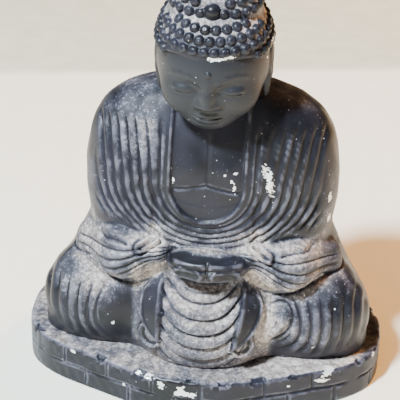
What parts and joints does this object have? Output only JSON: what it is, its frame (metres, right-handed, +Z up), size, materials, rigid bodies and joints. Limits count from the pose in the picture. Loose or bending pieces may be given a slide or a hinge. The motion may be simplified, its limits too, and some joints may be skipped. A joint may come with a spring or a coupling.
{
  "type": "seated statuette",
  "caption": "Small cast-metal figure of a seated, meditating Buddha in a folded robe on a low stone-block plinth, painted black.",
  "frame": {"origin": "centre of the plinth's footprint, on the surface it stands on", "axes": "+Z up, the figure faces -Y, and +X is on the right of someone who looks at its face"},
  "size_m": [0.084, 0.048, 0.1041],
  "materials": {
    "black_paint": "satin, worn and dusty",
    "steel": "zinc-plated",
    "brass": "turned",
    "felt": "matt"
  },
  "bodies": {
    "root": {"plinth": "black_paint", "front_shell": "black_paint", "rear_shell": "black_paint", "head": "black_paint", "tie_rod": "steel", "tie_rod_washer": "steel", "tie_rod_nut": "steel", "base_plate": "steel", "plate_screws": "steel", "seam_dowels": "brass", "felt_pad": "felt"}
  },
  "joints": []
}
